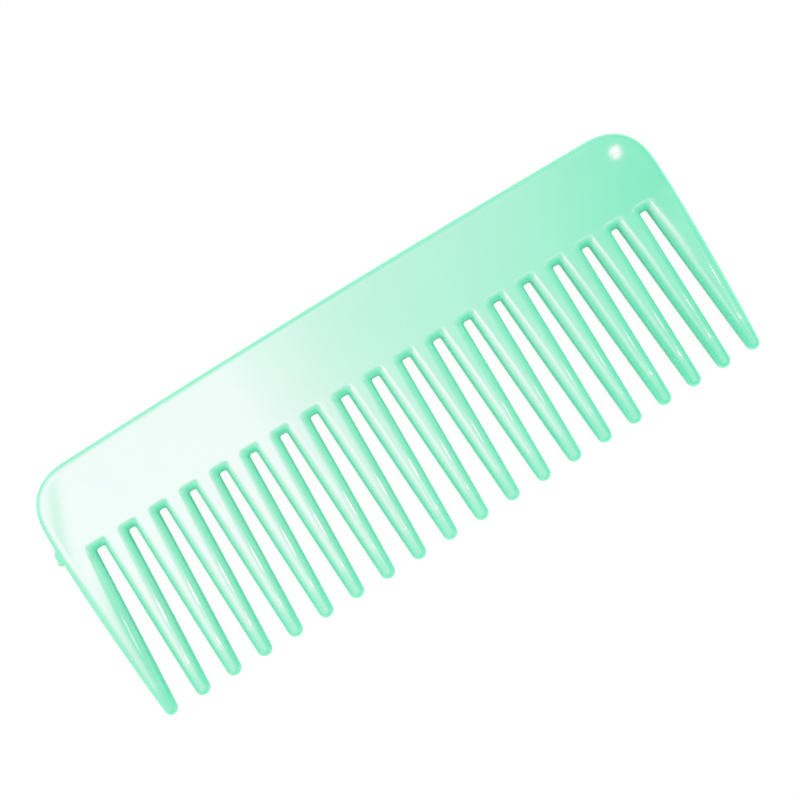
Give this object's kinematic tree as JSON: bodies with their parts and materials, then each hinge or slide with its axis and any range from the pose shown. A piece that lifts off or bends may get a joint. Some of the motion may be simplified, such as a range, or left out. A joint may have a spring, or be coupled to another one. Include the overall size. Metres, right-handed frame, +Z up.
{
  "type": "shampoo comb",
  "caption": "Wide-tooth shampoo comb with a broad flat back, large round corners and long rounded tapering teeth between two wider guard teeth.",
  "frame": {"origin": "centre of the back's flat underside, half-way from the slot roots to the back edge", "axes": "+X along the comb, away from the end with the gate stub; +Y from the tooth tips to the back edge; +Z up through the thickness, away from the face that the comb lies on"},
  "size_m": [0.1914, 0.0719, 0.0046],
  "materials": {
    "comb_plastic": "smooth, very glossy mint-green moulded plastic, the same on every surface"
  },
  "bodies": {
    "root": {"back": "comb_plastic", "guard_tooth_left": "comb_plastic", "guard_tooth_right": "comb_plastic", "tooth_01": "comb_plastic", "tooth_02": "comb_plastic", "tooth_03": "comb_plastic", "tooth_04": "comb_plastic", "tooth_05": "comb_plastic", "tooth_06": "comb_plastic", "tooth_07": "comb_plastic", "tooth_08": "comb_plastic", "tooth_09": "comb_plastic", "tooth_10": "comb_plastic", "tooth_11": "comb_plastic", "tooth_12": "comb_plastic", "tooth_13": "comb_plastic", "tooth_14": "comb_plastic", "tooth_15": "comb_plastic", "tooth_16": "comb_plastic", "tooth_17": "comb_plastic", "tooth_18": "comb_plastic"}
  },
  "joints": []
}
